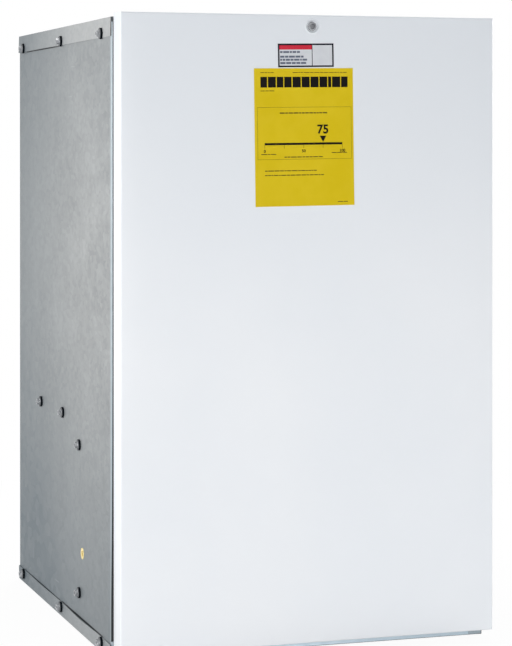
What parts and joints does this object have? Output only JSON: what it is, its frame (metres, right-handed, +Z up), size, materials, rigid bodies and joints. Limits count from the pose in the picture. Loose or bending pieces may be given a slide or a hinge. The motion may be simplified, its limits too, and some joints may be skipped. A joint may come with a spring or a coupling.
{
  "type": "electric furnace",
  "caption": "Upright downflow electric furnace: galvanised sheet-metal cabinet with a plain white lift-off front door, centrifugal blower above the deck and open-coil heating elements below.",
  "frame": {"origin": "bottom centre of the whole furnace's box, on the floor plane", "axes": "+Z up, the door faces -Y, +X to the right as seen from the front"},
  "size_m": [0.5556, 0.6504, 0.8685],
  "materials": {
    "galvanised_sheet": "hot-dip galvanised, faint spangle",
    "white_enamel": "smooth white enamel, satin",
    "foam_rubber": "closed-cell foam, matt",
    "zinc_screw": "bright zinc plate",
    "painted_screw": "white enamel over steel",
    "ivory_nylon": "moulded nylon",
    "black_nylon": "moulded nylon",
    "glass_fibre": "yellow glass-fibre board, foil faced",
    "door_fibre": "glass-fibre board",
    "yellow_paper": "satin printed label stock",
    "white_paper": "satin printed label stock",
    "blower_sheet": "galvanised sheet",
    "motor_paint": "dark grey enamel",
    "winding_copper": "varnished copper and laminated steel",
    "turned_steel": "ground steel",
    "capacitor_can": "drawn aluminium can",
    "ceramic": "unglazed steatite",
    "resistance_wire": "oxidised nickel-chrome wire",
    "brass_stud": "plain brass",
    "phenolic": "black moulded phenolic",
    "core_steel": "varnished laminations",
    "coil_tape": "yellow-brown coil tape",
    "copper_lug": "plain copper",
    "handle_plastic": "off-white moulded plastic",
    "red_wire": "red insulated wire",
    "black_wire": "black cable sheath"
  },
  "bodies": {
    "cabinet": {"left_side_panel": "galvanised_sheet", "right_side_panel": "galvanised_sheet", "back_panel": "galvanised_sheet", "top_frame": "galvanised_sheet", "bottom_frame": "galvanised_sheet", "gasket": "foam_rubber", "door_bracket": "galvanised_sheet", "door_hooks": "galvanised_sheet", "strip_screws": "zinc_screw", "side_screws": "zinc_screw", "back_screws": "zinc_screw", "wire_bushing": "ivory_nylon", "power_bushing": "black_nylon", "liner_left": "glass_fibre", "liner_right": "glass_fibre", "liner_back": "glass_fibre", "blower_deck": "galvanised_sheet", "heater_plate": "galvanised_sheet", "scroll_wrapper": "blower_sheet", "scroll_front": "blower_sheet", "scroll_rear": "blower_sheet", "inlet_ring_front": "blower_sheet", "inlet_ring_rear": "blower_sheet", "outlet_flange": "blower_sheet", "blower_legs": "galvanised_sheet", "blower_bolts": "zinc_screw", "motor_shell": "motor_paint", "motor_end_bells": "motor_paint", "motor_stator": "winding_copper", "motor_band": "zinc_screw", "motor_arms": "zinc_screw", "run_capacitor": "capacitor_can", "capacitor_strap": "zinc_screw", "element_frames": "galvanised_sheet", "element_insulators": "ceramic", "element_coils": "resistance_wire", "element_studs": "brass_stud", "limit_switches": "phenolic", "sequencers": "phenolic", "fan_relay": "phenolic", "transformer_core": "core_steel", "transformer_coil": "coil_tape", "terminal_strip": "phenolic", "ground_lug": "copper_lug", "breaker_bracket": "galvanised_sheet", "breaker_bodies": "phenolic", "power_wires": "red_wire", "motor_cable": "black_wire"},
    "door": {"door_panel": "white_enamel", "door_insulation": "door_fibre", "door_screw": "painted_screw", "yellow_sticker": "yellow_paper", "small_tag": "white_paper"},
    "blower_rotor": {"motor_shaft": "turned_steel", "motor_rotor_core": "core_steel", "wheel_disc": "blower_sheet", "wheel_blades": "blower_sheet", "wheel_rings": "blower_sheet"},
    "handle_left": {"breaker_handle_left": "handle_plastic"},
    "handle_right": {"breaker_handle_right": "handle_plastic"}
  },
  "joints": [
    {"name": "door_pull", "type": "slide", "parent": "cabinet", "child": "door", "axis": [0, -1, 0], "range_m": [0, 0.35]},
    {"name": "blower_spin", "type": "hinge", "parent": "cabinet", "child": "blower_rotor", "pos_m": [-0.02, 0.04841, 0.495], "axis": [0, 1, 0], "continuous": true},
    {"name": "breaker_left_swing", "type": "hinge", "parent": "cabinet", "child": "handle_left", "pos_m": [-0.178, -0.23559, 0.068], "axis": [1, 0, 0], "range_deg": [0, 40]},
    {"name": "breaker_right_swing", "type": "hinge", "parent": "cabinet", "child": "handle_right", "pos_m": [-0.122, -0.23559, 0.068], "axis": [1, 0, 0], "range_deg": [0, 40]}
  ]
}
